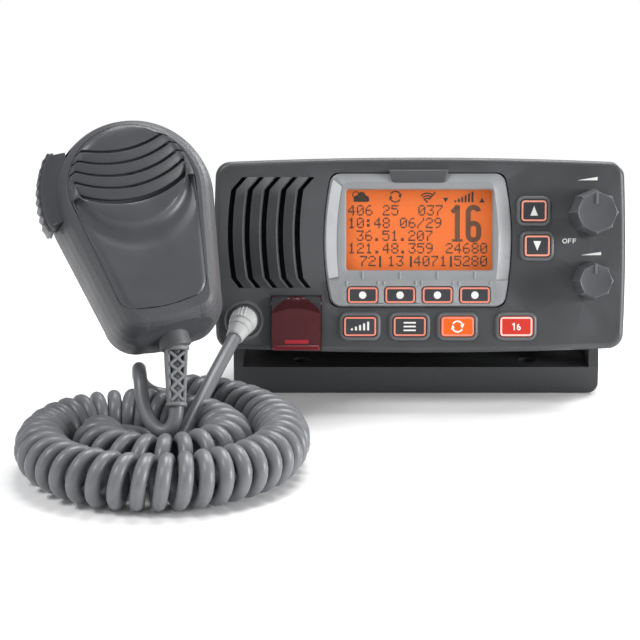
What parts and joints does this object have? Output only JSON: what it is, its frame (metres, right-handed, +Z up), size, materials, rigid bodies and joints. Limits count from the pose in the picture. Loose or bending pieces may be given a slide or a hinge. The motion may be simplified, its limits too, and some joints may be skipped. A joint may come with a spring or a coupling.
{
  "type": "vhf marine radio",
  "caption": "Fixed-mount marine VHF radio in a gimbal bracket, with a fist microphone on a hanger and a curly cord.",
  "frame": {"origin": "on the face that the bracket stands on, straight under the tilt pivot and midway between the bracket's arms", "axes": "+Z up, -Y towards a person facing the panel, +X to that person's right"},
  "size_m": [0.2312, 0.2653, 0.12],
  "materials": {
    "panel_plastic": "satin moulded dark grey plastic",
    "bezel_plastic": "satin light grey plastic",
    "clear_window": "clear",
    "screen": "backlit orange",
    "white_plastic": "matte white",
    "key_plastic": "satin dark key",
    "orange_key": "translucent orange",
    "red_key": "translucent red",
    "silicone": "matte silicone",
    "circuit_board": "solder-masked board",
    "speaker_parts": "black",
    "gauze": "black woven",
    "cast_metal": "powder coat, black",
    "nickel": "nickel plate",
    "knob_plastic": "satin dark grey",
    "steel": "brushed",
    "cover_red": "translucent red",
    "bracket_plastic": "fine grained black",
    "mic_shell": "grained dark grey",
    "mic_plate": "smooth dark grey",
    "cord_rubber": "mid grey polyurethane",
    "plug_rubber": "light grey moulded rubber"
  },
  "bodies": {
    "bracket": {"mounting_bracket": "bracket_plastic", "mic_hanger": "steel", "friction_washers": "silicone", "curly_cord": "cord_rubber", "cord_radio_tail": "cord_rubber", "cord_mic_tail": "cord_rubber"},
    "radio": {"front_panel": "panel_plastic", "screen_bezel": "bezel_plastic", "screen_window": "clear_window", "lcd_panel": "screen", "lcd_holder": "white_plastic", "keypad_mat": "silicone", "front_board": "circuit_board", "main_board": "circuit_board", "speaker_driver": "speaker_parts", "speaker_gauze": "gauze", "panel_gasket": "silicone", "chassis": "cast_metal", "rear_heatsink": "cast_metal", "antenna_socket": "nickel", "antenna_insulator": "white_plastic", "power_gland": "silicone", "mic_socket": "panel_plastic", "mic_plug": "plug_rubber", "volume_encoder": "nickel", "squelch_encoder": "nickel", "distress_hinge_pin": "steel", "panel_screws": "steel", "board_screws": "steel", "heatsink_screws": "steel"},
    "left_clamp": {"left_clamp_knob": "bracket_plastic", "left_clamp_stud": "steel"},
    "right_clamp": {"right_clamp_knob": "bracket_plastic", "right_clamp_stud": "steel"},
    "volume": {"volume_knob": "knob_plastic", "volume_shaft": "steel"},
    "squelch": {"squelch_knob": "knob_plastic", "squelch_shaft": "steel"},
    "distress_cover": {"distress_cover": "cover_red"},
    "distress_button": {"distress_button": "red_key"},
    "microphone": {"mic_front_shell": "mic_shell", "mic_face_plate": "mic_plate", "mic_rear_shell": "mic_shell", "mic_board": "circuit_board", "mic_capsule": "nickel", "mic_screws": "steel", "mic_hanger_stud": "steel", "mic_strain_relief": "plug_rubber"},
    "ptt_button": {"mic_ptt_button": "knob_plastic"},
    "soft_key_1": {"soft_key_1": "key_plastic"},
    "soft_key_2": {"soft_key_2": "key_plastic"},
    "soft_key_3": {"soft_key_3": "key_plastic"},
    "soft_key_4": {"soft_key_4": "key_plastic"},
    "power_level_key": {"power_level_key": "key_plastic"},
    "menu_key": {"menu_key": "key_plastic"},
    "rewind_key": {"rewind_key": "orange_key"},
    "channel_16_key": {"channel_16_key": "red_key"},
    "channel_up_key": {"channel_up_key": "key_plastic"},
    "channel_down_key": {"channel_down_key": "key_plastic"}
  },
  "joints": [
    {"name": "radio_tilt", "type": "hinge", "parent": "bracket", "child": "radio", "pos_m": [0, 0, 0.0524], "axis": [1, 0, 0], "range_deg": [-4, 15], "deforming": ["cord_radio_tail"]},
    {"name": "left_clamp_turn", "type": "hinge", "parent": "bracket", "child": "left_clamp", "pos_m": [-0.079, 0, 0.0524], "axis": [-1, 0, 0], "range_deg": [0, 180]},
    {"name": "right_clamp_turn", "type": "hinge", "parent": "bracket", "child": "right_clamp", "pos_m": [0.079, 0, 0.0524], "axis": [1, 0, 0], "range_deg": [0, 180]},
    {"name": "volume_turn", "type": "hinge", "parent": "radio", "child": "volume", "pos_m": [0.0677, -0.04339, 0.07887], "axis": [0, -0.9774, 0.2113], "range_deg": [-150, 150]},
    {"name": "squelch_turn", "type": "hinge", "parent": "radio", "child": "squelch", "pos_m": [0.0674, -0.04901, 0.05287], "axis": [0, -0.9774, 0.2113], "range_deg": [-150, 150]},
    {"name": "distress_cover_open", "type": "hinge", "parent": "radio", "child": "distress_cover", "pos_m": [-0.0489, -0.04449, 0.04253], "axis": [-1, 0, 0], "range_deg": [0, 95], "stiffness_Nm_per_rad": 0.002, "springref_deg": -22.92},
    {"name": "distress_button_press", "type": "slide", "parent": "radio", "child": "distress_button", "axis": [0, 0.9774, -0.2113], "range_m": [0, 0.0008], "stiffness_N_per_m": 1500, "springref_m": -0.0006},
    {"name": "soft_key_1_press", "type": "slide", "parent": "radio", "child": "soft_key_1", "axis": [0, 0.9774, -0.2113], "range_m": [0, 0.0007], "stiffness_N_per_m": 1500, "springref_m": -0.0006},
    {"name": "soft_key_2_press", "type": "slide", "parent": "radio", "child": "soft_key_2", "axis": [0, 0.9774, -0.2113], "range_m": [0, 0.0007], "stiffness_N_per_m": 1500, "springref_m": -0.0006},
    {"name": "soft_key_3_press", "type": "slide", "parent": "radio", "child": "soft_key_3", "axis": [0, 0.9774, -0.2113], "range_m": [0, 0.0007], "stiffness_N_per_m": 1500, "springref_m": -0.0006},
    {"name": "soft_key_4_press", "type": "slide", "parent": "radio", "child": "soft_key_4", "axis": [0, 0.9774, -0.2113], "range_m": [0, 0.0007], "stiffness_N_per_m": 1500, "springref_m": -0.0006},
    {"name": "power_level_key_press", "type": "slide", "parent": "radio", "child": "power_level_key", "axis": [0, 0.9774, -0.2113], "range_m": [0, 0.0007], "stiffness_N_per_m": 1500, "springref_m": -0.0006},
    {"name": "menu_key_press", "type": "slide", "parent": "radio", "child": "menu_key", "axis": [0, 0.9774, -0.2113], "range_m": [0, 0.0007], "stiffness_N_per_m": 1500, "springref_m": -0.0006},
    {"name": "rewind_key_press", "type": "slide", "parent": "radio", "child": "rewind_key", "axis": [0, 0.9774, -0.2113], "range_m": [0, 0.0007], "stiffness_N_per_m": 1500, "springref_m": -0.0006},
    {"name": "channel_16_key_press", "type": "slide", "parent": "radio", "child": "channel_16_key", "axis": [0, 0.9774, -0.2113], "range_m": [0, 0.0007], "stiffness_N_per_m": 1500, "springref_m": -0.0006},
    {"name": "channel_up_key_press", "type": "slide", "parent": "radio", "child": "channel_up_key", "axis": [0, 0.9774, -0.2113], "range_m": [0, 0.0007], "stiffness_N_per_m": 1500, "springref_m": -0.0006},
    {"name": "channel_down_key_press", "type": "slide", "parent": "radio", "child": "channel_down_key", "axis": [0, 0.9774, -0.2113], "range_m": [0, 0.0007], "stiffness_N_per_m": 1500, "springref_m": -0.0006},
    {"name": "microphone_lift", "type": "slide", "parent": "bracket", "child": "microphone", "axis": [-0.2874, 0.4016, 0.8695], "range_m": [0, 0.022], "deforming": ["cord_mic_tail"]},
    {"name": "ptt_press", "type": "slide", "parent": "microphone", "child": "ptt_button", "axis": [0.9302, 0.3336, 0.1533], "range_m": [0, 0.0022], "stiffness_N_per_m": 900, "springref_m": -0.001}
  ]
}
